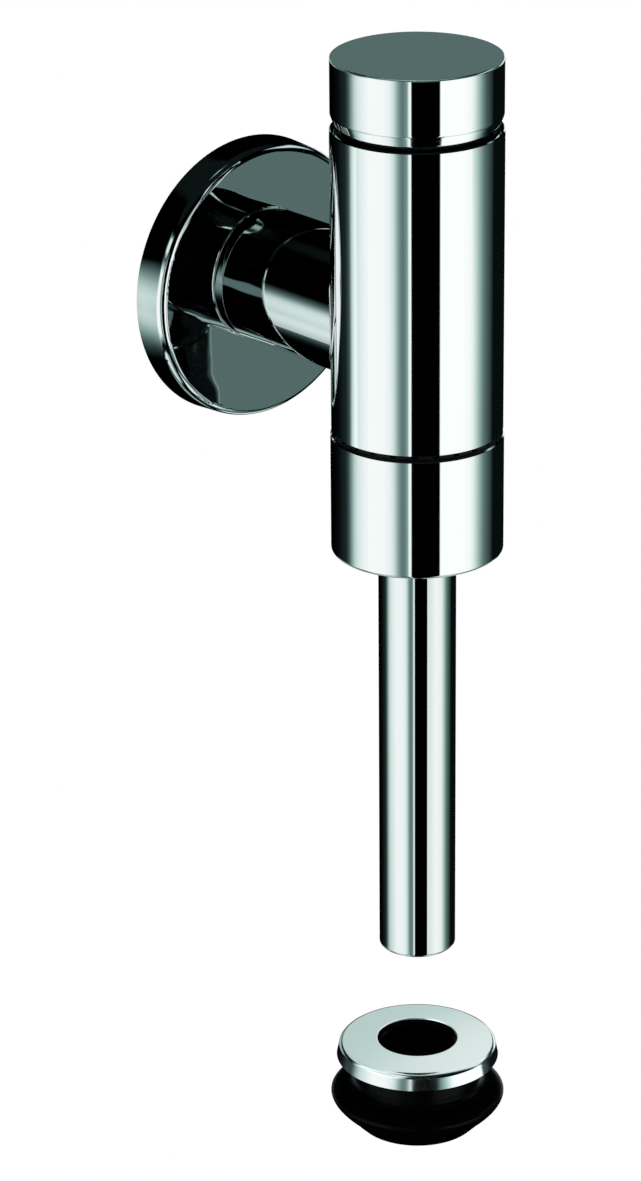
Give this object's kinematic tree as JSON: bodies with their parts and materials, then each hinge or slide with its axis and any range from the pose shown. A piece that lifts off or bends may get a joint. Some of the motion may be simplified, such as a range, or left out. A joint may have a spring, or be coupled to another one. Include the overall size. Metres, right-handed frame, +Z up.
{
  "type": "urinal flush valve",
  "caption": "Exposed self-closing urinal flush valve: round column with a push cap on top, wall rosette and stub, collar, straight flush tube and a separate connector with a rubber lip.",
  "frame": {"origin": "on the axis of the inlet nipple, at the wall's surface", "axes": "+Z up along the column, +Y along the inlet into the wall, so the valve stands out towards -Y"},
  "size_m": [0.0662, 0.0938, 0.2661],
  "materials": {
    "chrome": "mirror polished chromium plating",
    "brass": "fine turned, bare",
    "steel": "drawn stainless wire and sheet",
    "black_plastic": "moulded, fine satin",
    "white_plastic": "moulded acetal",
    "grey_plastic": "moulded",
    "rubber": "moulded, soft sheen"
  },
  "bodies": {
    "valve": {"valve_body": "chrome", "wall_rosette": "chrome", "inlet_nipple": "brass", "nipple_o_rings": "rubber", "nipple_set_screw": "steel", "inlet_strainer": "steel", "flow_limiter": "grey_plastic", "seat_ring": "brass", "seat_o_ring": "rubber", "cartridge_sleeve": "white_plastic", "sleeve_o_ring": "rubber", "cartridge_head": "brass", "head_o_ring": "rubber", "stem_o_rings": "rubber", "cap_guide": "black_plastic", "return_spring": "steel", "piston_spring": "steel", "air_gap_ring": "black_plastic", "outlet_collar": "chrome", "interrupter_nozzle": "grey_plastic", "interrupter_insert": "grey_plastic", "tube_gasket": "rubber", "flush_tube": "chrome"},
    "cap": {"push_cap": "chrome", "cap_carrier": "black_plastic", "push_stem": "brass", "stem_circlip": "steel"},
    "piston": {"piston": "white_plastic", "piston_lip_seal": "rubber", "seat_washer": "rubber", "washer_nut": "brass", "bypass_jet": "brass", "pilot_spring_seat": "brass", "pilot_spring": "steel"},
    "pilot": {"pilot_pin": "brass", "pilot_seal": "rubber"},
    "connector": {"connector_ring": "chrome", "connector_rubber": "rubber"}
  },
  "joints": [
    {"name": "cap_press", "type": "slide", "parent": "valve", "child": "cap", "axis": [0, 0, -1], "range_m": [0, 0.0015], "stiffness_N_per_m": 2000, "springref_m": -0.002, "deforming": ["return_spring"]},
    {"name": "piston_lift", "type": "slide", "parent": "valve", "child": "piston", "axis": [0, 0, 1], "range_m": [0, 0.00375], "stiffness_N_per_m": 100, "springref_m": -0.003, "deforming": ["piston_spring"]},
    {"name": "pilot_open", "type": "slide", "parent": "piston", "child": "pilot", "axis": [0, 0, -1], "range_m": [0, 0.00487], "stiffness_N_per_m": 50, "springref_m": -0.002, "deforming": ["pilot_spring"]},
    {"name": "connector_slide", "type": "slide", "parent": "valve", "child": "connector", "axis": [0, 0, 1], "range_m": [0, 0.045]}
  ],
  "couplings": [
    {"joint": "piston_lift", "follows": "cap_press", "ratio": 2.5},
    {"joint": "pilot_open", "follows": "cap_press", "ratio": 3.25}
  ]
}
